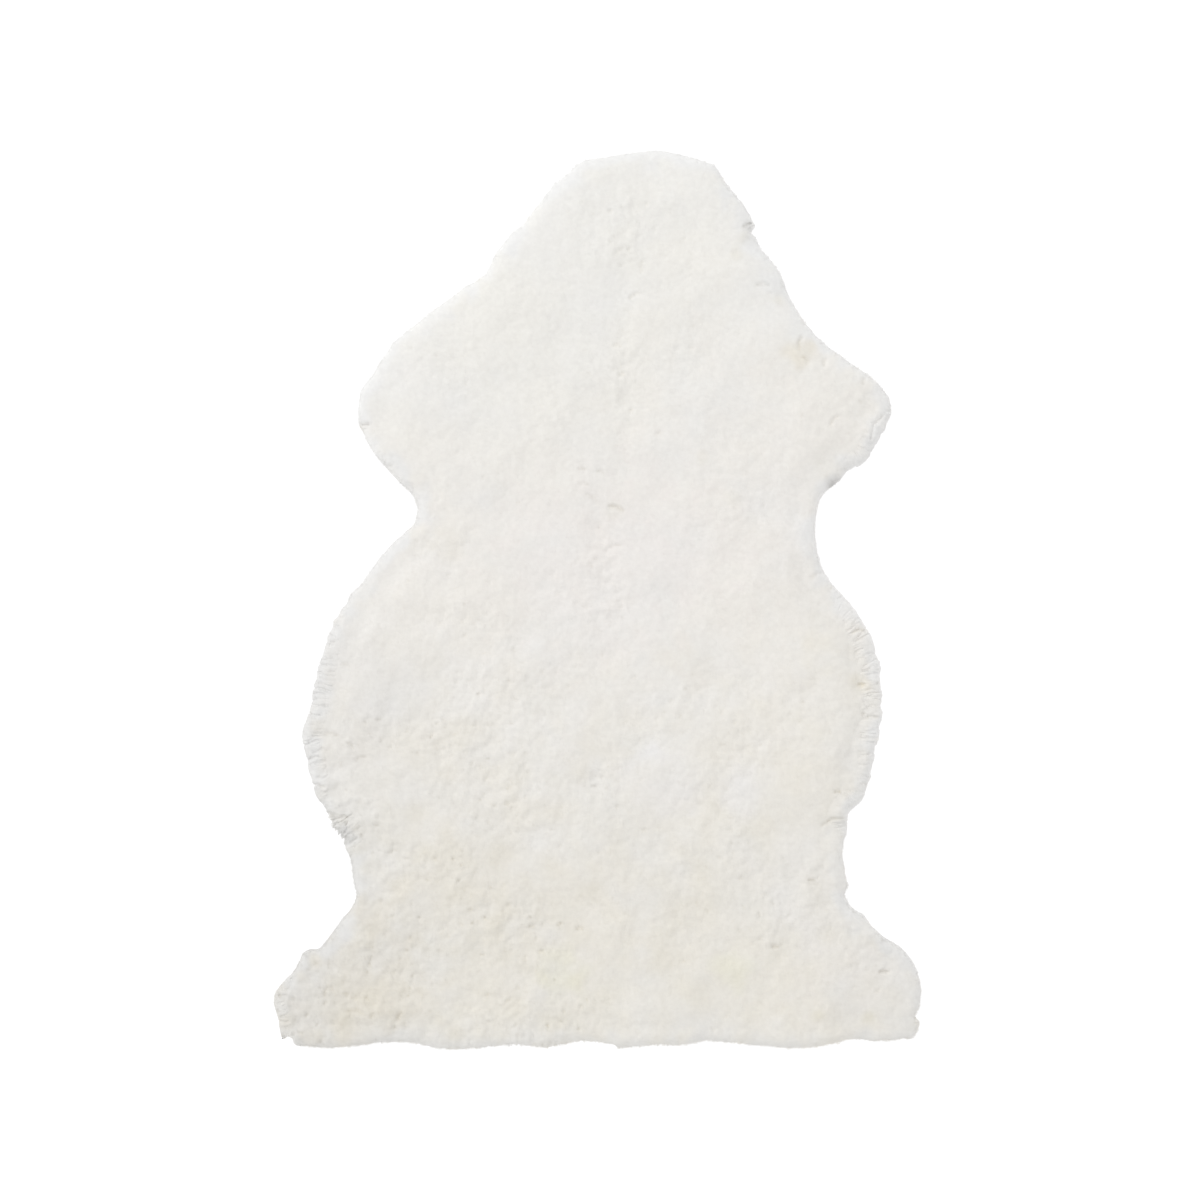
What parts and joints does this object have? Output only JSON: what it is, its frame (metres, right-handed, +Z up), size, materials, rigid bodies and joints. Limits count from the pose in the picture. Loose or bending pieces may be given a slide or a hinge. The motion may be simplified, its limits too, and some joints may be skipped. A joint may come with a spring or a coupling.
{
  "type": "sheepskin rug",
  "caption": "Natural sheepskin rug laid flat: a whole pelt with neck, leg flaps and rounded flanks, thick soft wool and locks round the rim.",
  "frame": {"origin": "on the floor plane, under the middle of the pelt's box", "axes": "+Y from the rump to the neck, +X to the right seen from above with the neck up, +Z up out of the wool"},
  "size_m": [0.649, 0.9, 0.0282],
  "materials": {
    "wool": "soft matt off-white wool pile"
  },
  "bodies": {
    "root": {"pelt": "wool"}
  },
  "joints": []
}
